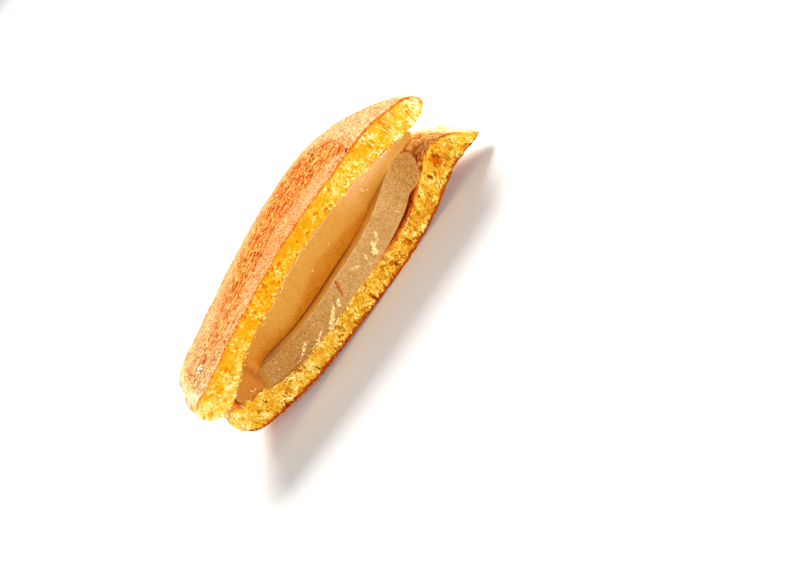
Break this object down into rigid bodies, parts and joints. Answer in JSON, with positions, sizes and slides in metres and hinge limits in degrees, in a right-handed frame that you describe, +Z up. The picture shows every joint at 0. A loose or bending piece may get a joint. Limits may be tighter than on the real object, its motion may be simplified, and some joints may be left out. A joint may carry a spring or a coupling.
{
  "type": "dorayaki",
  "caption": "Half of a dorayaki, cut across: honey pancakes round sweet bean paste, standing on its lower pancake with the cut face shown.",
  "frame": {"origin": "middle of the bounding box at the floor, under the part at rest", "axes": "+X along the cut, -Y out of the cut face, +Z up through the layers"},
  "size_m": [0.0936, 0.045, 0.0283],
  "materials": {
    "pancake_crust": null,
    "pancake_crumb": null,
    "paste_upper": null,
    "paste_lower": null
  },
  "bodies": {
    "root": {"top_pancake": "pancake_crust", "bottom_pancake": "pancake_crumb", "filling_upper": "paste_upper", "filling_lower": "paste_lower"}
  },
  "joints": []
}
